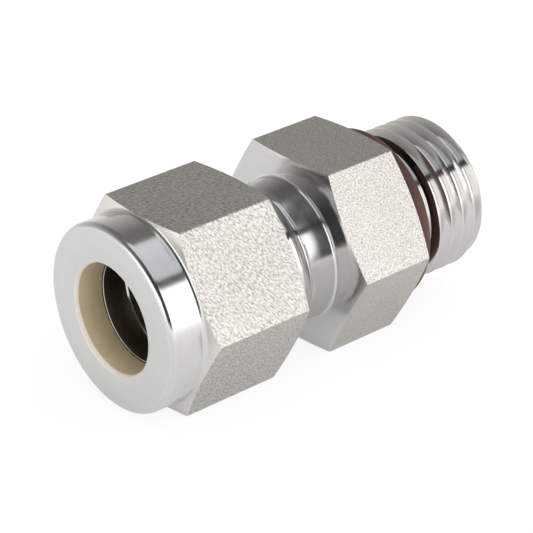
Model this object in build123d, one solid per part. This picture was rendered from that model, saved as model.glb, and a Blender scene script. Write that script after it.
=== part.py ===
from build123d import *
import os
from math import cos, radians, sqrt, tan

# Bored-through male connector: a tube fitting with two ferrules, put together finger-tight.
# Millimetres. X runs along the bore, from the nut to the male thread, and Z is up.
# The origin is on the bore axis, in the plane of the hex face that the O-ring seals on.

# Threads, 60 degrees
thread_depth_per_pitch = 0.6134

# Tube and its way through
tube_diameter = 9.525          # 3/8 inch tube
tube_clearance = 0.2           # on the diameter, in the body and both ferrules
nut_bore_clearance = 0.5       # on the diameter, in the nut
bore_chamfer = 0.3             # at the end of the body's bore
ferrule_edge_chamfer = 0.12    # at the bore edges of the ferrules
nut_bore_chamfer_depth = 0.35  # along the axis, at the nut's front face
nut_bore_chamfer_width = 0.17  # on the radius

# Body, tube end
seat_angle = 20.0              # half angle of the cone that takes the front ferrule
mouth_step = 1.0875            # the mouth's radius over the bore's
nose_wall = 1.175              # from the mouth out to the thread crest
tube_thread_pitch = 1.27       # 20 threads to the inch
tube_thread_length = 9.5
neck_length = 2.82
neck_depth = 0.575             # below the thread crest
neck_corner = 0.25             # chamfer left in the corner between neck and hex

# Body, hex
body_hex_length = 8.13
hex_land_step = 0.24           # the front land's radius under the flats'
hex_front_angle = 15.0
hex_rear_angle = 18.0
hex_edge_radius = 0.2

# Body, male end
male_wall = 2.2625             # from the bore out to the thread crest
male_thread_pitch = 25.4 / 18  # 18 threads to the inch
male_thread_length = 6.35      # from the relief to the end face, with wall and chamfer
male_lead_run = 0.2156         # along the axis, in the steep wall from relief to crest
relief_room = 1.42             # relief left open beside the O-ring

# O-ring
o_ring_section = 1.98          # across the flats of its section
o_ring_sides = 16              # flats of its section, one lying on the relief, one on the hex
o_ring_seat_gap = 0.02

# Ferrules
ferrule_seat_gap = 0.05        # finger-tight, measured square to each seat
front_flange_step = 0.15       # the front ferrule's radius over the mouth's
front_flange_length = 1.62
front_rim = 0.3                # flat rim at the rear of the front ferrule
front_nose_wall = 0.25
back_flange_step = 0.15        # the back ferrule's radius under the front ferrule's
back_flange_length = 1.15
back_nose_wall = 0.2
shoulder_angle = 15.0          # the nut's shoulder, off square to the axis

# Nut
nut_running_clearance = 0.05   # thread crest to thread bore, on the radius
nut_wall = 1.55625             # thread bore to hex flat
pocket_clearance = 0.1         # on the radius, around the ferrules
pull_up_turns = 1.25           # the nut's last turns, once a tube is in
pull_up_margin = 0.3
nut_bore_length = 2.83
nut_collar_length = 3.4
nut_collar_step = 0.18         # the collar's radius under the flats'
nut_collar_round = 0.6
nut_hex_length = 10.39
nut_countersink = 0.4

# Radii worked out from the tube outwards
bore_radius = (tube_diameter + tube_clearance) / 2
nut_bore_radius = (tube_diameter + nut_bore_clearance) / 2
mouth_radius = bore_radius + mouth_step
tube_thread_radius = mouth_radius + nose_wall
neck_radius = tube_thread_radius - neck_depth
nut_thread_radius = tube_thread_radius + nut_running_clearance
flat_radius = nut_thread_radius + nut_wall
collar_radius = flat_radius - nut_collar_step
male_thread_radius = bore_radius + male_wall
tube_thread_depth = thread_depth_per_pitch * tube_thread_pitch
male_thread_depth = thread_depth_per_pitch * male_thread_pitch
relief_radius = male_thread_radius - male_thread_depth
front_flange_radius = mouth_radius + front_flange_step
back_flange_radius = front_flange_radius - back_flange_step
pocket_radius = front_flange_radius + pocket_clearance

# Places along the body
hex_front_x = -body_hex_length
hex_middle_x = hex_front_x / 2
neck_end_x = hex_front_x - neck_length
nose_x = neck_end_x - neck_depth - tube_thread_length
relief_end_x = o_ring_section + relief_room
male_end_x = relief_end_x + male_thread_length

# Places of the ferrules, each seated on the one before
seat_slope = tan(radians(seat_angle))
seat_drop = ferrule_seat_gap / cos(radians(seat_angle))
front_cone_x = nose_x - (front_flange_step + seat_drop) / seat_slope
front_tip_x = nose_x + (mouth_step - seat_drop - front_nose_wall) / seat_slope
front_rear_x = front_cone_x - front_flange_length
front_recess_radius = front_flange_radius - front_rim
front_recess_x = front_rear_x + front_recess_radius - bore_radius
back_gap = ferrule_seat_gap * sqrt(2)
back_tip_x = front_recess_x - back_gap - back_nose_wall
back_cone_x = front_recess_x - back_gap - (back_flange_radius - bore_radius)
back_rim_x = back_cone_x - back_flange_length
shoulder_slope = tan(radians(shoulder_angle))
back_rear_x = back_rim_x - (back_flange_radius - bore_radius) * shoulder_slope

# Places along the nut, seated on the back ferrule
shoulder_gap = ferrule_seat_gap / cos(radians(shoulder_angle))
shoulder_x = back_rear_x - shoulder_gap + (nut_bore_radius - bore_radius) * shoulder_slope
pocket_floor_x = shoulder_x + (pocket_radius - nut_bore_radius) * shoulder_slope
pocket_step_x = nose_x - pull_up_turns * tube_thread_pitch - pull_up_margin
nut_front_x = shoulder_x - nut_bore_length
nut_hex_x = nut_front_x + nut_collar_length
nut_rear_x = nut_hex_x + nut_hex_length


def turned(points):
    """A solid of revolution about X from its half section, given as (x, radius) points."""
    return revolve(make_face(Polyline(points, close=True)), Axis.X)


def ring_edges(solid, x, radius):
    """The round edges of a turned solid at a place and radius."""
    rounds = solid.edges().filter_by(GeomType.CIRCLE)
    return [e for e in rounds if abs(e.arc_center.X - x) < 1e-3 and abs(e.radius - radius) < 1e-3]


def hex_bar(front_x, front_land, rear_x, rear_land):
    """A hex bar with turned corners: each end has a flat land and a shallow cone outside it."""
    outline = RegularPolygon(flat_radius, 6, major_radius=False)
    outline = fillet(outline.vertices(), hex_edge_radius)
    face_plane = Plane(origin=(front_x, 0, 0), x_dir=(0, 1, 0), z_dir=(1, 0, 0))
    bar = extrude(face_plane * outline, rear_x - front_x)
    reach = 2 * flat_radius / sqrt(3) + hex_edge_radius
    front_cone = (reach - front_land) * tan(radians(hex_front_angle))
    rear_cone = (reach - rear_land) * tan(radians(hex_rear_angle))
    blank = turned([
        (front_x, 0),
        (front_x, front_land),
        (front_x + front_cone, reach),
        (rear_x - rear_cone, reach),
        (rear_x, rear_land),
        (rear_x, 0),
    ])
    return bar & blank


def body_tube_end():
    """Neck, thread and nose, up to the hex."""
    return turned([
        (hex_middle_x, 0),
        (hex_middle_x, neck_radius + neck_corner),
        (hex_front_x, neck_radius + neck_corner),
        (hex_front_x - neck_corner, neck_radius),
        (neck_end_x, neck_radius),
        (neck_end_x - neck_depth, tube_thread_radius),
        (nose_x + tube_thread_depth, tube_thread_radius),
        (nose_x, tube_thread_radius - tube_thread_depth),
        (nose_x, 0),
    ])


def body_male_end():
    """Relief for the O-ring, and the straight thread between a steep wall and a chamfer."""
    return turned([
        (hex_middle_x, 0),
        (hex_middle_x, relief_radius),
        (relief_end_x, relief_radius),
        (relief_end_x + male_lead_run, male_thread_radius),
        (male_end_x - male_thread_depth, male_thread_radius),
        (male_end_x, male_thread_radius - male_thread_depth),
        (male_end_x, 0),
    ])


def body_way_through():
    """The ferrule seat and the straight bore, cut right through the body."""
    return turned([
        (nose_x, 0),
        (nose_x, mouth_radius),
        (nose_x + mouth_step / seat_slope, bore_radius),
        (male_end_x - bore_chamfer, bore_radius),
        (male_end_x, bore_radius + bore_chamfer),
        (male_end_x, 0),
    ])


def body():
    """The connector body, one piece of steel."""
    solid = hex_bar(hex_front_x, flat_radius - hex_land_step, 0, flat_radius)
    return solid + body_tube_end() + body_male_end() - body_way_through()


def front_ferrule():
    """Cone that seats in the body's mouth, with a recess behind for the back ferrule."""
    edge = ferrule_edge_chamfer
    return turned([
        (front_recess_x, bore_radius),
        (front_rear_x, front_recess_radius),
        (front_rear_x, front_flange_radius - edge),
        (front_rear_x + edge, front_flange_radius),
        (front_cone_x, front_flange_radius),
        (front_tip_x, bore_radius + front_nose_wall),
        (front_tip_x, bore_radius),
    ])


def back_ferrule():
    """Thin ring whose nose seats in the front ferrule and whose back takes the nut's push."""
    edge = ferrule_edge_chamfer
    return turned([
        (back_rear_x + edge, bore_radius),
        (back_rear_x + edge * shoulder_slope, bore_radius + edge),
        (back_rim_x, back_flange_radius),
        (back_cone_x, back_flange_radius),
        (back_tip_x, bore_radius + back_nose_wall),
        (back_tip_x, bore_radius),
    ])


def nut_way_through():
    """Bore, shoulder, ferrule pocket and thread bore, cut right through the nut."""
    return turned([
        (nut_front_x, 0),
        (nut_front_x, nut_bore_radius + nut_bore_chamfer_width),
        (nut_front_x + nut_bore_chamfer_depth, nut_bore_radius),
        (shoulder_x, nut_bore_radius),
        (pocket_floor_x, pocket_radius),
        (pocket_step_x - (nut_thread_radius - pocket_radius), pocket_radius),
        (pocket_step_x, nut_thread_radius),
        (nut_rear_x - nut_countersink, nut_thread_radius),
        (nut_rear_x, nut_thread_radius + nut_countersink),
        (nut_rear_x, 0),
    ])


def nut():
    """The nut: a hex with a round collar in front."""
    collar = turned([
        (nut_front_x, 0),
        (nut_front_x, collar_radius),
        (nut_hex_x + nut_hex_length / 2, collar_radius),
        (nut_hex_x + nut_hex_length / 2, 0),
    ])
    collar = fillet(ring_edges(collar, nut_front_x, collar_radius), nut_collar_round)
    solid = hex_bar(nut_hex_x, collar_radius, nut_rear_x, flat_radius) + collar
    return solid - nut_way_through()


def o_ring():
    """Rubber ring stretched over the relief, its round section drawn in narrow flats."""
    radius = o_ring_section / 2
    middle = o_ring_seat_gap + radius
    half_side = 180 / o_ring_sides
    section = RegularPolygon(radius, o_ring_sides, major_radius=False, rotation=half_side)
    return revolve(Pos(middle, relief_radius + middle) * section, Axis.X)


pieces = {
    "body": body,
    "front_ferrule": front_ferrule,
    "back_ferrule": back_ferrule,
    "nut": nut,
    "o_ring": o_ring,
}

os.makedirs("parts", exist_ok=True)
for name, make in pieces.items():
    export_step(make(), "parts/" + name + ".step")
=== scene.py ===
import bpy
import bmesh
from math import pi, radians, sin, cos, tan, hypot
from mathutils import Vector, Matrix


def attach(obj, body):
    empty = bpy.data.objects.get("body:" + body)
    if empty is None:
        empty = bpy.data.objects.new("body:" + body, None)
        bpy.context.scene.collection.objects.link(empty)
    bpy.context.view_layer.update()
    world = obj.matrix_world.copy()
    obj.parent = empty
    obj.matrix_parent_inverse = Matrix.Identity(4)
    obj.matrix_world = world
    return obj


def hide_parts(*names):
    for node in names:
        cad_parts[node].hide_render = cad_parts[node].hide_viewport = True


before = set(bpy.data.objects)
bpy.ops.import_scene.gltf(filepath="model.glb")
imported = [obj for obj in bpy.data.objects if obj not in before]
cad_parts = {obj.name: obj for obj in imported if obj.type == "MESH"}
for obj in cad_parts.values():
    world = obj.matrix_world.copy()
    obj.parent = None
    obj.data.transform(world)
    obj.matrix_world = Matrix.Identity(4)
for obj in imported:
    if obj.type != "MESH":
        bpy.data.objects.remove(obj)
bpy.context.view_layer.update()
print("frame loaded")

# Every size below is in millimetres and goes through mm on its way into a mesh.
mm = 0.001
stage = bpy.context.scene

# The facets round the axis are a multiple of 6, so that the hex corners agree.
# A blank runs past the hex's corners, and a cutter starts clear of the surface and has a tail outside it.
lathe = {"facets": 240, "edgeRound": 0.04, "fineRound": 0.02, "past": 0.3,
         "cutterWall": 4.0, "clear": 0.06, "tail": 0.5, "weld": 1e-7}


# Hand tools

def deselect():
    if bpy.context.object and bpy.context.object.mode != "OBJECT":
        bpy.ops.object.mode_set(mode="OBJECT")
    bpy.ops.object.select_all(action="DESELECT")


def pick(piece):
    deselect()
    piece.select_set(True)
    bpy.context.view_layer.objects.active = piece


def editing(piece, kind="VERT"):
    pick(piece)
    bpy.ops.object.mode_set(mode="EDIT")
    bpy.ops.mesh.select_mode(type=kind)
    bpy.ops.mesh.select_all(action="DESELECT")


def leave():
    bpy.ops.object.mode_set(mode="OBJECT")


def selectEdges(piece, test):
    mesh = bmesh.from_edit_mesh(piece.data)
    for edge in mesh.edges:
        if test(edge):
            edge.select_set(True)
    mesh.select_flush_mode()
    bmesh.update_edit_mesh(piece.data)


def addModifier(piece, kind, **settings):
    pick(piece)
    modifier = piece.modifiers.new(kind.title(), kind)
    for key, value in settings.items():
        setattr(modifier, key, value)
    bpy.ops.object.modifier_apply(modifier=modifier.name)


def drawLoop(name, points):
    # one vertex, extruded from point to point in the XZ plane and closed
    deselect()
    bpy.ops.mesh.primitive_plane_add(size=mm, location=(points[0][0] * mm, 0, points[0][1] * mm))
    piece = bpy.context.object
    piece.name = name
    bpy.ops.object.transform_apply(location=True, rotation=True, scale=True)
    editing(piece)
    bpy.ops.mesh.select_all(action="SELECT")
    bpy.ops.mesh.merge(type="CENTER")
    for (x0, z0), (x1, z1) in zip(points, points[1:]):
        step = ((x1 - x0) * mm, 0, (z1 - z0) * mm)
        bpy.ops.mesh.extrude_region_move(TRANSFORM_OT_translate={"value": step})
    bpy.ops.mesh.select_all(action="DESELECT")
    mesh = bmesh.from_edit_mesh(piece.data)
    mesh.verts.ensure_lookup_table()
    for end in (0, -1):
        mesh.verts[end].select_set(True)
    bmesh.update_edit_mesh(piece.data)
    bpy.ops.mesh.edge_face_add()
    leave()
    return piece


def spin(piece):
    editing(piece)
    bpy.ops.mesh.select_all(action="SELECT")
    bpy.ops.mesh.spin(steps=lathe["facets"], angle=2 * pi, center=(0, 0, 0), axis=(1, 0, 0))
    bpy.ops.mesh.select_all(action="SELECT")
    bpy.ops.mesh.remove_doubles(threshold=lathe["weld"])
    bpy.ops.mesh.normals_make_consistent(inside=False)
    leave()


def turn(name, points, edgeRound=lathe["edgeRound"]):
    # a lathe-turned blank from its half section, its sharp edges broken
    piece = drawLoop(name, points)
    spin(piece)
    addModifier(piece, "BEVEL", width=edgeRound * mm, segments=2, limit_method="ANGLE",
                angle_limit=radians(20), use_clamp_overlap=True)
    return piece


def cut(piece, cutter):
    addModifier(piece, "BOOLEAN", operation="DIFFERENCE", object=cutter, solver="EXACT")
    bpy.data.objects.remove(cutter)


def helix(name, groove, startX, pitch, turns):
    # a closed groove section swept along the thread, its ends capped
    strip = drawLoop(name, [(startX + along, radius) for along, radius in groove])
    addModifier(strip, "SCREW", axis="X", angle=2 * pi, screw_offset=pitch * mm, iterations=turns,
                steps=lathe["facets"], render_steps=lathe["facets"],
                use_merge_vertices=False, use_smooth_shade=False)
    editing(strip, "EDGE")
    bpy.ops.mesh.select_all(action="SELECT")
    bpy.ops.mesh.remove_doubles(threshold=lathe["weld"])
    bpy.ops.mesh.select_all(action="DESELECT")
    middle = startX * mm + pitch * turns * mm / 2
    for low in (True, False):
        selectEdges(strip, lambda e: e.is_boundary
                    and ((e.verts[0].co.x + e.verts[1].co.x) / 2 < middle) == low)
        bpy.ops.mesh.edge_face_add()
        bpy.ops.mesh.select_all(action="DESELECT")
    bpy.ops.mesh.select_all(action="SELECT")
    bpy.ops.mesh.normals_make_consistent(inside=False)
    leave()
    return strip


def finish(piece):
    editing(piece)
    bpy.ops.mesh.select_all(action="SELECT")
    bpy.ops.mesh.remove_doubles(threshold=2 * lathe["weld"])
    bpy.ops.mesh.dissolve_degenerate(threshold=2 * lathe["weld"])
    leave()
    pick(piece)
    bpy.ops.object.shade_smooth_by_angle(angle=radians(32))
    addModifier(piece, "WEIGHTED_NORMAL", mode="FACE_AREA", weight=50, keep_sharp=True)


def paint(piece, materials, rules):
    # rules: (material's key, test on a face's normal, centre and distance from the axis); the first that fits wins
    for name in materials:
        piece.data.materials.append(materials[name])
    order = list(materials)
    for face in piece.data.polygons:
        centre = face.center / mm
        radius = hypot(centre.y, centre.z)
        for name, test in rules:
            if test(face.normal, centre, radius):
                face.material_index = order.index(name)
                break


def ride(piece, body, node):
    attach(piece, body)
    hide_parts(node)


# Hexes and threads, which the body and the nut share

hexSize = {"flatRadius": 8.73125, "cornerRound": 0.2, "frontAngle": 15.0, "rearAngle": 18.0}
tubeThread = {"pitch": 1.27, "crestRadius": 7.125, "rootRadius": 6.57, "crestShare": 0.13,
              "crestAtTop": -11.81, "turnsBack": 9, "turns": 10}
maleThread = {"pitch": 25.4 / 18, "crestRadius": 7.125, "rootRadius": 6.275, "crestShare": 0.09,
              "crestAtTop": 3.38, "turnsBack": 2, "turns": 8}
nutThread = {"pitch": 1.27, "majorRadius": 7.2, "minorRadius": 6.64, "majorShare": 0.2, "turns": 9}


def coneRuns(frontLand):
    # how far out a blank reaches, and how far each of its end cones runs along the axis to get there
    flat = hexSize["flatRadius"]
    reach = flat / cos(pi / 6) + lathe["past"]
    frontRun = (reach - frontLand) * tan(radians(hexSize["frontAngle"]))
    rearRun = (reach - flat) * tan(radians(hexSize["rearAngle"]))
    return reach, frontRun, rearRun


def hexRing(fromX, toX):
    # a thick ring with a hex hole: what the mill takes off a round blank
    long = toX - fromX
    deselect()
    bpy.ops.mesh.primitive_cylinder_add(vertices=6, radius=hexSize["flatRadius"] / cos(pi / 6) * mm,
                                        depth=long * mm, end_fill_type="NOTHING",
                                        location=((fromX + long / 2) * mm, 0, 0),
                                        rotation=(0, pi / 2, 0))
    ring = bpy.context.object
    ring.name = "hex cutter"
    bpy.ops.object.transform_apply(location=True, rotation=True, scale=True)
    editing(ring, "EDGE")
    selectEdges(ring, lambda e: not e.is_boundary)
    # the bevel's offset along each flat is radius * tan(30)
    bpy.ops.mesh.bevel(offset=hexSize["cornerRound"] * tan(pi / 6) * mm, segments=6)
    leave()
    addModifier(ring, "SOLIDIFY", thickness=lathe["cutterWall"] * mm, offset=1.0, use_even_offset=False)
    return ring


def outerGroove(thread):
    # an outside thread's groove, from above the crest down to its rounded root and back
    pitch, crest, root = thread["pitch"], thread["crestRadius"], thread["rootRadius"]
    flank = tan(radians(30))
    openHalf = pitch / 2 - pitch * thread["crestShare"] / 2
    rootHalf = openHalf - (crest - root) * flank
    soft = rootHalf * 0.5
    bendUp, bendIn, bendLift = 0.6 * soft, 0.35 * soft, 0.12 * soft
    rim = openHalf + lathe["clear"] * flank
    half = [(rim, crest + lathe["tail"]), (rim, crest + lathe["clear"]),
            (rootHalf + bendUp * flank, root + bendUp), (rootHalf - bendIn, root + bendLift), (0, root)]
    return [(-along, radius) for along, radius in half] + half[-2::-1]


def innerGroove(thread):
    # an inside thread's groove, from inside the minor radius out to the major and back
    major, minor = thread["majorRadius"], thread["minorRadius"]
    deepHalf = thread["pitch"] * thread["majorShare"] / 2
    rim = deepHalf + (major - minor + lathe["clear"]) * tan(radians(30))
    half = [(rim, minor - lathe["tail"]), (rim, minor - lathe["clear"]), (deepHalf, major)]
    return [(-along, radius) for along, radius in half] + half[::-1]


# Shader kit

class Wire:
    # a socket that does sums: + - * ** with wires and numbers add Math nodes
    def __init__(self, graph, socket):
        self.graph = graph
        self.socket = socket

    def __add__(self, other):
        return self.graph.sum("ADD", self, other)

    def __radd__(self, other):
        return self.graph.sum("ADD", other, self)

    def __sub__(self, other):
        return self.graph.sum("SUBTRACT", self, other)

    def __rsub__(self, other):
        return self.graph.sum("SUBTRACT", other, self)

    def __mul__(self, other):
        return self.graph.sum("MULTIPLY", self, other)

    def __rmul__(self, other):
        return self.graph.sum("MULTIPLY", other, self)

    def __pow__(self, other):
        return self.graph.sum("POWER", self, other)

    def above(self, edge, blur):
        return self.graph.rise(self, edge - blur, edge + blur, 0.0, 1.0)


class Graph:
    def __init__(self, tree):
        self.tree = tree

    def node(self, kind, settings=None, sockets=None, out=0):
        made = self.tree.nodes.new(kind)
        for key, value in (settings or {}).items():
            setattr(made, key, value)
        self.feed(made, sockets or {})
        return Wire(self, made.outputs[out])

    def feed(self, made, sockets):
        for key, value in sockets.items():
            if isinstance(value, Wire):
                self.tree.links.new(value.socket, made.inputs[key])
            else:
                made.inputs[key].default_value = value

    def sum(self, operation, *values):
        return self.node("ShaderNodeMath", {"operation": operation}, dict(enumerate(values)))

    def rise(self, wire, low, high, toLow, toHigh, curve="SMOOTHSTEP"):
        return self.node("ShaderNodeMapRange", {"interpolation_type": curve},
                         {0: wire, 1: low, 2: high, 3: toLow, 4: toHigh})

    def mixColour(self, share, low, high):
        return self.node("ShaderNodeMix", {"data_type": "RGBA"}, {0: share, 6: low, 7: high}, 2)

    def axes(self, vector):
        return [self.node("ShaderNodeSeparateXYZ", None, {0: vector}, axis) for axis in range(3)]

    def join(self, x, y, z):
        return self.node("ShaderNodeCombineXYZ", None, {0: x, 1: y, 2: z})

    def place(self):
        return self.node("ShaderNodeTexCoord", None, None, "Object")

    def noise(self, vector, scale, detail, roughness=0.55, distortion=0.0):
        return self.node("ShaderNodeTexNoise", None, {"Vector": vector, "Scale": scale, "Detail": detail,
                                                      "Roughness": roughness, "Distortion": distortion})

    def bump(self, height, depth):
        return self.node("ShaderNodeBump", None, {"Height": height, "Distance": depth, "Strength": 1.0})


def startMaterial(name):
    material = bpy.data.materials.new(name)
    material.use_nodes = True
    tree = material.node_tree
    return material, Graph(tree), tree.nodes["Principled BSDF"]


def blendShaders(graph, share, low, high, output):
    mix = graph.node("ShaderNodeMixShader", None, {0: share, 1: low, 2: high})
    graph.tree.links.new(mix.socket, graph.tree.nodes[output].inputs["Surface"])


# Materials. Noise scales are per metre, and a mark's depth is in millimetres.

def turnedSteel(name, look):
    # tool marks follow x and the distance from the axis; a slow noise keeps them from being perfect circles
    material, graph, shader = startMaterial(name)
    point = graph.place()
    x, y, z = graph.axes(point)
    drift = graph.noise(point, 180.0, 2.0) * look["drift"] * mm
    lay = graph.join(x + drift, (y * y + z * z) ** 0.5, 0.0)
    fine = graph.noise(lay, look["marksPerMetre"], 4.0, 0.7)
    broad = graph.noise(lay, look["marksPerMetre"] * 0.22, 2.0, 0.5)
    smears = graph.noise(point, 320.0, 3.0, 0.6)
    marks = fine * 0.6 + broad * 0.4
    tone = graph.mixColour(marks.above(0.5, 0.3) * 0.6 + smears * 0.4, look["dark"], look["light"])
    rough = look["roughness"] + (marks - 0.5) * look["roughSwing"] + (smears - 0.5) * look["roughSwing"]
    graph.feed(shader, {"Base Color": tone, "Metallic": 1.0, "Roughness": rough,
                        "Normal": graph.bump(marks, look["depth"] * mm)})
    return material


def grainedSteel(name, look):
    # the bar's rolled skin: short ridges pressed into the flats, at a slant to the bar;
    # the way round is an angle times the flats' radius, so the grain runs over every flat alike
    material, graph, shader = startMaterial(name)
    point = graph.place()
    x, y, z = graph.axes(point)
    around = graph.sum("ARCTAN2", z, y) * look["skinRadius"]
    slant = radians(look["slant"])
    along = (x * cos(slant) + around * sin(slant)) * look["stretch"]
    across = around * cos(slant) - x * sin(slant)
    ridges = graph.noise(graph.join(along, across, 0.0), look["grainPerMetre"], 2.0, 0.6, 0.5)
    pits = graph.noise(graph.join(x, around, 0.005), look["grainPerMetre"] * 1.7, 2.0, 0.6)
    grain = ridges * 0.7 + pits * 0.3
    smears = graph.noise(point, 140.0, 3.0, 0.6)
    # tone: the grain's low spots are painted dark, partly the skin's own tone and partly painted shade in its
    # pits; the ridges and pits themselves come from the bump
    tone = graph.mixColour(grain.above(0.47, 0.12) * 0.75 + smears * 0.25, look["dark"], look["light"])
    rough = look["roughness"] + (grain - 0.5) * look["roughSwing"]
    graph.feed(shader, {"Base Color": tone, "Metallic": 1.0, "Roughness": rough,
                        "Normal": graph.bump(grain, look["depth"] * mm)})
    return material


def rubber(name, look):
    material, graph, shader = startMaterial(name)
    point = graph.place()
    speckle = graph.noise(point, 2600.0, 3.0, 0.6)
    bloom = graph.noise(point, 420.0, 3.0)
    tone = graph.mixColour(bloom.above(0.5, 0.22), look["dark"], look["light"])
    rough = look["roughness"] + (speckle - 0.5) * look["roughSwing"]
    graph.feed(shader, {"Base Color": tone, "Roughness": rough, "Specular IOR Level": look["shine"],
                        "Normal": graph.bump(speckle, look["depth"] * mm)})
    return material


def drySlip(name, look):
    # the tan dry lubricant baked on the nut's bore: matt, thin over the tool marks
    material, graph, shader = startMaterial(name)
    point = graph.place()
    x, y, z = graph.axes(point)
    marks = graph.noise(graph.join(x, (y * y + z * z) ** 0.5, 0.0), 7000.0, 3.0, 0.6)
    cloud = graph.noise(point, 260.0, 4.0, 0.6)
    tone = graph.mixColour(cloud.above(0.5, 0.3), look["dark"], look["light"])
    rough = look["roughness"] + (marks - 0.5) * look["roughSwing"]
    graph.feed(shader, {"Base Color": tone, "Roughness": rough,
                        "Normal": graph.bump(marks, look["depth"] * mm)})
    return material


turnedLooks = {
    "polished": {"dark": (0.56, 0.555, 0.55, 1), "light": (0.7, 0.7, 0.695, 1), "roughness": 0.16,
                 "roughSwing": 0.08, "marksPerMetre": 9000.0, "depth": 0.0012, "drift": 0.02},
    "satin": {"dark": (0.6, 0.6, 0.59, 1), "light": (0.7, 0.7, 0.69, 1), "roughness": 0.36,
              "roughSwing": 0.1, "marksPerMetre": 14000.0, "depth": 0.004, "drift": 0.03},
    "thread": {"dark": (0.56, 0.55, 0.535, 1), "light": (0.72, 0.712, 0.7, 1), "roughness": 0.12,
               "roughSwing": 0.06, "marksPerMetre": 11000.0, "depth": 0.0012, "drift": 0.02},
    # a lighter, creamier copy of the turned steel for the nut's hex front cones: the lighter cream tone is a
    # painted highlight, the higher roughness the turned finish
    "litConeFace": {"dark": (0.66, 0.645, 0.62, 1), "light": (0.76, 0.745, 0.725, 1), "roughness": 0.26,
                 "roughSwing": 0.1, "marksPerMetre": 12000.0, "depth": 0.004, "drift": 0.03},
    # bore: a darker, browner copy of the turned steel for the bores and the ferrules' rear faces, as painted shade
    # deep inside the part
    "bore": {"dark": (0.3, 0.26, 0.21, 1), "light": (0.46, 0.42, 0.36, 1), "roughness": 0.34,
             "roughSwing": 0.12, "marksPerMetre": 9000.0, "depth": 0.004, "drift": 0.03},
}
# a flat's dark tone is partly painted shade in the grain's pits, its light tone the raised skin's steel
grainedLooks = {
    "nutFlat": {"dark": (0.25, 0.238, 0.22, 1), "light": (0.62, 0.605, 0.575, 1), "roughness": 0.22,
                "roughSwing": 0.1, "skinRadius": 0.0087, "grainPerMetre": 6800.0, "slant": 54.0,
                "stretch": 0.45, "depth": 0.062},
    "bodyFlat": {"dark": (0.28, 0.265, 0.243, 1), "light": (0.6, 0.583, 0.555, 1), "roughness": 0.22,
                 "roughSwing": 0.1, "skinRadius": 0.0087, "grainPerMetre": 8200.0, "slant": 40.0,
                 "stretch": 0.7, "depth": 0.038},
}
boreLook = {"dark": (0.6, 0.49, 0.3, 1), "light": (0.72, 0.62, 0.42, 1), "roughness": 0.5,
            "roughSwing": 0.15, "depth": 0.003}
# a paler copy of the tan dry lubricant for the bore's front chamfer: the tan is the coating, the paleness a
# painted highlight on the rim
rimHighlightLook = {"dark": (0.74, 0.68, 0.6, 1), "light": (0.88, 0.83, 0.76, 1), "roughness": 0.45,
           "roughSwing": 0.15, "depth": 0.003}
rubberLook = {"dark": (0.05, 0.018, 0.011, 1), "light": (0.085, 0.03, 0.02, 1), "roughness": 0.55,
              "roughSwing": 0.16, "shine": 0.42, "depth": 0.012}

finishes = {key: turnedSteel("steel " + key, look) for key, look in turnedLooks.items()}
finishes["nutFlat"] = grainedSteel("steel nut flats", grainedLooks["nutFlat"])
finishes["bodyFlat"] = grainedSteel("steel body flats", grainedLooks["bodyFlat"])
finishes["slip"] = drySlip("dry lubricant", boreLook)
finishes["rim"] = drySlip("dry lubricant, rim highlight", rimHighlightLook)
finishes["rubber"] = rubber("ring rubber", rubberLook)
print("materials made")


# Body

bodySize = {
    "cutFrom": -8.2, "cutTo": 0.05, "hexFront": -8.13, "frontLand": 8.49125,
    "nose": -21.025, "mouthRadius": 5.95, "boreRadius": 4.8625, "seatAngle": 20.0,
    "threadRadius": 7.125, "noseChamfer": 0.779,
    "neckStart": -11.525, "neckEnd": -10.95, "neckRadius": 6.55, "neckCorner": 0.25,
    "reliefRadius": 6.2594, "reliefEnd": 3.4, "leadRun": 0.2156,
    "maleRadius": 7.125, "maleChamfer": 0.8656, "maleEnd": 9.75, "boreChamfer": 0.3,
}


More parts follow.
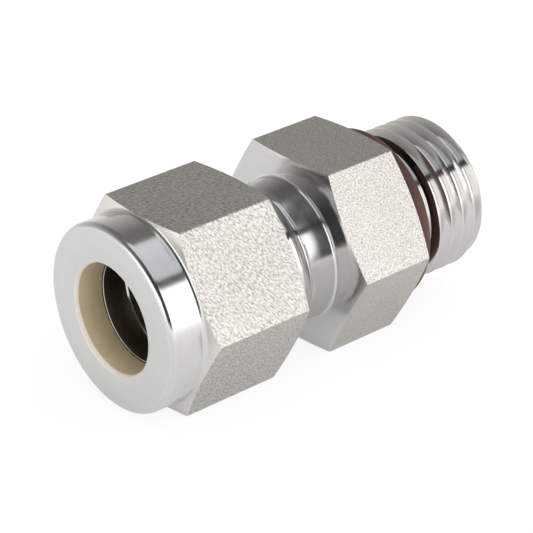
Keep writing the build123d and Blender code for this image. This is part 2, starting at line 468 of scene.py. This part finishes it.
def makeBody(size):
    reach, frontRun, rearRun = coneRuns(size["frontLand"])
    seatRun = (size["mouthRadius"] - size["boreRadius"]) / tan(radians(size["seatAngle"]))
    corner = size["neckCorner"]
    piece = turn("body_steel", [
        (size["nose"] + seatRun, size["boreRadius"]),
        (size["nose"], size["mouthRadius"]),
        (size["nose"], size["threadRadius"] - size["noseChamfer"]),
        (size["nose"] + size["noseChamfer"], size["threadRadius"]),
        (size["neckStart"], size["threadRadius"]),
        (size["neckEnd"], size["neckRadius"]),
        (size["hexFront"] - corner, size["neckRadius"]),
        (size["hexFront"] - corner * 0.35, size["neckRadius"] + corner * 0.25),
        (size["hexFront"], size["neckRadius"] + corner),
        (size["hexFront"], size["frontLand"]),
        (size["hexFront"] + frontRun, reach),
        (-rearRun, reach),
        (0, hexSize["flatRadius"]),
        (0, size["reliefRadius"]),
        (size["reliefEnd"], size["reliefRadius"]),
        (size["reliefEnd"] + size["leadRun"], size["maleRadius"]),
        (size["maleEnd"] - size["maleChamfer"], size["maleRadius"]),
        (size["maleEnd"], size["maleRadius"] - size["maleChamfer"]),
        (size["maleEnd"], size["boreRadius"] + size["boreChamfer"]),
        (size["maleEnd"] - size["boreChamfer"], size["boreRadius"]),
    ])
    cut(piece, hexRing(size["cutFrom"], size["cutTo"]))
    for thread in (maleThread, tubeThread):
        startX = thread["crestAtTop"] + thread["pitch"] * (0.5 - thread["turnsBack"])
        cut(piece, helix("thread cutter", outerGroove(thread), startX, thread["pitch"], thread["turns"]))
    finish(piece)
    onHex = lambda at: size["hexFront"] < at.x < 0
    paint(piece, {key: finishes[key] for key in ("polished", "bodyFlat", "thread", "bore")}, [
        # the bores take the darker steel: painted shade inside the part
        ("bore", lambda normal, at, radius: radius < size["mouthRadius"] and abs(normal.x) < 0.6),
        ("bodyFlat", lambda normal, at, radius: onHex(at) and abs(normal.x) < 0.02 and radius > 8),
        ("thread", lambda normal, at, radius: at.x > size["reliefEnd"] or at.x < size["neckStart"]),
        ("polished", lambda normal, at, radius: True),
    ])
    ride(piece, "connector", "body")
    return piece


bodyPiece = makeBody(bodySize)
print("body made", len(bodyPiece.data.polygons))


# Nut

nutSize = {
    "cutFrom": -24.5, "cutTo": -13.867, "front": -27.707, "hexFront": -24.307, "rear": -13.917,
    "collarRadius": 8.55125, "collarRound": 0.6, "collarFillet": 0.42, "filletSink": 0.04,
    "boreRadius": 5.0125, "boreChamferDepth": 0.35, "boreChamferWidth": 0.17,
    "shoulder": -24.877, "shoulderAngle": 15.0, "pocketRadius": 6.2, "pocketStep": -22.9125,
    "countersink": 0.4, "mouthRadius": 7.175,
}


def arcPoints(centreX, centreR, radius, startAngle, endAngle, count):
    span = endAngle - startAngle
    angles = [radians(startAngle + span * step / count) for step in range(count + 1)]
    return [(centreX + radius * cos(a), centreR + radius * sin(a)) for a in angles]


def makeNut(size):
    reach, frontRun, rearRun = coneRuns(size["collarRadius"])
    minor, pocket = nutThread["minorRadius"], size["pocketRadius"]
    shoulderRun = (pocket - size["boreRadius"]) * tan(radians(size["shoulderAngle"]))
    roundOff, fillet = size["collarRound"], size["collarFillet"]
    countersunk = size["mouthRadius"] + size["countersink"]
    piece = turn("nut_steel", [
        (size["front"] + size["boreChamferDepth"], size["boreRadius"]),
        (size["front"], size["boreRadius"] + size["boreChamferWidth"]),
        *arcPoints(size["front"] + roundOff, size["collarRadius"] - roundOff, roundOff, 180, 90, 10),
        *arcPoints(size["hexFront"] - fillet + size["filletSink"], size["collarRadius"] + fillet,
                   fillet, -90, -15, 8),
        (size["hexFront"] + frontRun, reach),
        (size["rear"] - rearRun, reach),
        (size["rear"], hexSize["flatRadius"]),
        (size["rear"], countersunk),
        (size["rear"] - countersunk + minor, minor),
        (size["pocketStep"] - minor + pocket, minor),
        (size["pocketStep"] - (minor - pocket) * 2, pocket),
        (size["shoulder"] + shoulderRun, pocket),
        (size["shoulder"], size["boreRadius"]),
    ])
    cut(piece, hexRing(size["cutFrom"], size["cutTo"]))
    startX = tubeThread["crestAtTop"] - nutThread["pitch"] * nutThread["turns"]
    cut(piece, helix("thread cutter", innerGroove(nutThread), startX, nutThread["pitch"],
                     nutThread["turns"]))
    finish(piece)
    faceEdge = size["front"] + size["boreChamferDepth"]
    onHex = lambda at: at.x > size["hexFront"]
    paint(piece, {key: finishes[key] for key in ("polished", "nutFlat", "thread", "satin", "litConeFace",
                                                 "slip", "rim")}, [
        # the bore's front chamfer takes the paler lubricant: painted highlight
        ("rim", lambda normal, at, radius: at.x < faceEdge and radius < 6 and normal.x > -0.9),
        ("satin", lambda normal, at, radius: at.x < size["front"] + 0.05 and normal.x < -0.9),
        ("slip", lambda normal, at, radius: at.x < size["shoulder"] + 0.2 and radius < pocket),
        ("nutFlat", lambda normal, at, radius: abs(normal.x) < 0.02 and radius > 8.3 and onHex(at)),
        # the nut's hex front cones take the lighter steel: painted highlight
        ("litConeFace", lambda normal, at, radius: onHex(at) and radius > 8.6 and normal.x < -0.9),
        ("thread", lambda normal, at, radius: radius < size["mouthRadius"] + 0.1 and at.x > size["shoulder"]),
        ("polished", lambda normal, at, radius: True),
    ])
    ride(piece, "nut", "nut")
    return piece


nutPiece = makeNut(nutSize)
print("nut made", len(nutPiece.data.polygons))


# Ferrules

ferruleSize = {
    "boreRadius": 4.8625, "rearAngle": 15.0,
    "front": {"rear": -23.2033, "recess": -22.2658, "cone": -21.5833, "tip": -18.8702,
              "flangeRadius": 6.1, "recessRadius": 5.8, "noseWall": 0.25, "edge": 0.12},
    "back": {"rear": -24.8654, "rim": -24.574, "cone": -23.424, "tip": -22.5365,
             "flangeRadius": 5.95, "noseWall": 0.2, "edge": 0.06},
}


def makeFerrules(size):
    bore, front, back = size["boreRadius"], size["front"], size["back"]
    frontPiece = turn("front_ferrule_steel", [
        (front["recess"], bore),
        (front["rear"], front["recessRadius"]),
        (front["rear"], front["flangeRadius"] - front["edge"]),
        (front["rear"] + front["edge"], front["flangeRadius"]),
        (front["cone"], front["flangeRadius"]),
        (front["tip"], bore + front["noseWall"]),
        (front["tip"], bore),
    ], lathe["fineRound"])
    backPiece = turn("back_ferrule_steel", [
        (back["rear"] + back["edge"], bore),
        (back["rear"] + back["edge"] * tan(radians(size["rearAngle"])), bore + back["edge"]),
        (back["rim"], back["flangeRadius"]),
        (back["cone"], back["flangeRadius"]),
        (back["tip"], bore + back["noseWall"]),
        (back["tip"], bore),
    ], lathe["fineRound"])
    for piece, node in ((frontPiece, "front_ferrule"), (backPiece, "back_ferrule")):
        finish(piece)
        paint(piece, {"polished": finishes["polished"], "bore": finishes["bore"]}, [
            # the ferrules' bores and rear faces take the darker steel: painted shade inside the nut
            ("bore", lambda normal, at, radius: radius < bore + 0.01 or normal.x < -0.85),
            ("polished", lambda normal, at, radius: True),
        ])
        ride(piece, "ferrules", node)


makeFerrules(ferruleSize)
print("ferrules made")


# O-ring

ringSize = {"section": 1.98, "seatGap": 0.02, "reliefRadius": 6.2594, "flash": 0.02,
            "flashWidth": 0.05, "sectionFacets": 48}


def makeRing(size):
    radius = size["section"] / 2
    middle = size["seatGap"] + radius
    deselect()
    bpy.ops.mesh.primitive_torus_add(major_radius=(size["reliefRadius"] + middle) * mm,
                                     minor_radius=(radius - size["flash"]) * mm,
                                     major_segments=lathe["facets"], minor_segments=size["sectionFacets"],
                                     location=(middle * mm, 0, 0), rotation=(0, pi / 2, 0))
    piece = bpy.context.object
    piece.name = "ring_rubber"
    bpy.ops.object.transform_apply(location=True, rotation=True, scale=True)
    # the mould's parting line: the outermost loop, raised a little
    editing(piece, "EDGE")
    outer = (size["reliefRadius"] + middle + radius - size["flash"]) * mm
    outermost = lambda e: all(hypot(v.co.y, v.co.z) > outer - 2e-6 for v in e.verts)
    selectEdges(piece, outermost)
    bpy.ops.mesh.bevel(offset=size["flashWidth"] * mm, segments=2)
    bpy.ops.mesh.select_all(action="DESELECT")
    selectEdges(piece, outermost)
    grow = 1 + size["flash"] * mm / outer
    bpy.ops.transform.resize(value=(1, grow, grow), center_override=(middle * mm, 0, 0))
    leave()
    bpy.ops.object.shade_smooth()
    paint(piece, {"rubber": finishes["rubber"]}, [])
    ride(piece, "connector", "o_ring")


makeRing(ringSize)
print("ring made")


# Floor, light and camera

# near, far and the two glows set the painted pool of lamp light and the painted shade near the part that the metal
# sees in the floor
floorSize = {"z": -8.73125, "half": 900.0, "grey": (0.86, 0.86, 0.86, 1), "roughness": 0.9,
             "cameraShare": 0.82, "metalShare": 0.4, "cameraGlow": 1.05,
             "leftEdge": -0.03, "near": 0.012, "far": 0.12, "paintedShadeGlow": 1.0, "paintedPoolGlow": 1.95}
room = {"colour": (1, 0.975, 0.94, 1), "fill": 0.8, "dim": 0.05,
        "behind": -0.05, "behindBlur": 0.25, "high": 0.72, "highGlow": 0.15, "horizonGlow": 0.8}
# A panel's angle is measured in the YZ plane from -Y up towards +Z, its spread either side of that.
panels = {
    "side panel": {"angle": 21.3, "spread": 22.3, "far": 400.0, "middleX": 270.0, "long": 760.0,
                   "glow": 1.9, "colour": (1.0, 0.995, 0.985)},
    "top panel": {"angle": 79.5, "spread": 25.5, "far": 400.0, "middleX": 200.0, "long": 700.0,
                  "glow": 0.8, "colour": (0.93, 0.975, 1.0)},
}
leftPanel = {"far": 380.0, "wide": 420.0, "high": 150.0, "glow": 1.5, "colour": (1, 1, 1)}
# The camera was solved from the hex corners and turned edges.
view = {"at": (-126.111, -140.492, 95.369), "right": (0.76444, -0.64428, -0.02315),
        "down": (-0.31756, -0.34505, -0.88323), "forward": (0.56106, 0.68253, -0.46836),
        "lens": 157.77, "sensor": 36, "clip": 10.0}


def showTo(graph, camera, glossy):
    # a share for camera rays, another for mirror-like rays, none for the light that falls on the object
    path = graph.node("ShaderNodeLightPath")
    seenInMetal = Wire(graph, path.socket.node.outputs["Is Glossy Ray"])
    seenInGlass = Wire(graph, path.socket.node.outputs["Is Transmission Ray"])
    return path * camera + (seenInMetal + seenInGlass) * glossy


def makeFloor(size):
    deselect()
    bpy.ops.mesh.primitive_plane_add(size=2 * size["half"] * mm, location=(0, 0, size["z"] * mm))
    floor = bpy.context.object
    floor.name = "floor"
    material, graph, shader = startMaterial("pale floor")
    graph.feed(shader, {"Base Color": size["grey"], "Roughness": size["roughness"]})
    # painted light: in the metal the floor's glow grows stronger away from the part, on the sides where the lamps
    # stand, as a painted pool of lamp light, and stays lower near the part as painted shade
    x, y = graph.axes(graph.place())[:2]
    lampSide = graph.sum("MAXIMUM", y * -1.0, size["leftEdge"] - x)
    paintedLampPool = graph.rise(lampSide, size["near"], size["far"], size["paintedShadeGlow"], size["paintedPoolGlow"])
    glow = graph.node("ShaderNodeEmission", None, {"Color": (1, 1, 1, 1),
                                                   "Strength": showTo(graph, size["cameraGlow"], paintedLampPool)})
    matt = Wire(graph, shader.outputs[0])
    blendShaders(graph, showTo(graph, size["cameraShare"], size["metalShare"]), matt, glow,
                 "Material Output")
    floor.data.materials.append(material)


def makeWorld(size):
    # an even fill falls on matt surfaces; polished metal sees a dim room instead, lighter towards
    # the horizon behind the part; the camera sees white
    world = bpy.data.worlds.new("studio")
    stage.world = world
    world.use_nodes = True
    graph = Graph(world.node_tree)
    behind, height = graph.axes(graph.node("ShaderNodeTexCoord", None, None, "Generated"))[1:]
    behindShare = behind.above(size["behind"], size["behindBlur"])
    horizon = graph.rise(height, size["high"], 0.0, size["highGlow"], size["horizonGlow"], "LINEAR")
    dim = size["dim"] + horizon * behindShare
    strength = size["fill"] + showTo(graph, 0.0, 1.0) * (dim - size["fill"])
    dimRoom = graph.node("ShaderNodeBackground", None, {"Color": size["colour"], "Strength": strength})
    white = graph.node("ShaderNodeBackground", None, {"Color": (1, 1, 1, 1), "Strength": 1.0})
    blendShaders(graph, showTo(graph, 1.0, 0.0), dimRoom, white, "World Output")


def hangPanel(name, middle, outwards, across, long, high, look):
    # a soft box: its long side runs along across, and it shines back along outwards
    lamp = bpy.data.lights.new(name, "AREA")
    lamp.shape = "RECTANGLE"
    lamp.size = long * mm
    lamp.size_y = high * mm
    lamp.energy = look["glow"] * pi * long * high * mm * mm
    lamp.color = look["colour"]
    lampObject = bpy.data.objects.new(name, lamp)
    stage.collection.objects.link(lampObject)
    turnMatrix = Matrix((across, outwards.cross(across), outwards)).transposed().to_4x4()
    lampObject.matrix_world = Matrix.Translation(middle * mm) @ turnMatrix


def makePanels():
    along = Vector((1, 0, 0))
    for name, panel in panels.items():
        tilt = radians(panel["angle"])
        outwards = Vector((0, -cos(tilt), sin(tilt)))
        hangPanel(name, outwards * panel["far"] + along * panel["middleX"], outwards, along,
                  panel["long"], 2 * panel["far"] * tan(radians(panel["spread"])), panel)
    leftMiddle = Vector((-leftPanel["far"], 0, floorSize["z"] + leftPanel["high"] / 2))
    hangPanel("left panel", leftMiddle, -along, Vector((0, 1, 0)), leftPanel["wide"], leftPanel["high"],
              leftPanel)


def makeCamera(size):
    data = bpy.data.cameras.new("camera")
    data.lens = size["lens"]
    data.sensor_width = size["sensor"]
    data.clip_start = size["clip"] * mm
    camera = bpy.data.objects.new("camera", data)
    stage.collection.objects.link(camera)
    right, down, forward = (Vector(size[key]) for key in ("right", "down", "forward"))
    turnMatrix = Matrix((right, -down, -forward)).transposed().to_4x4()
    camera.matrix_world = Matrix.Translation(Vector(size["at"]) * mm) @ turnMatrix
    stage.camera = camera


makeFloor(floorSize)
makeWorld(room)
makePanels()
makeCamera(view)
stage.view_settings.view_transform = "Standard"
print("stage made")
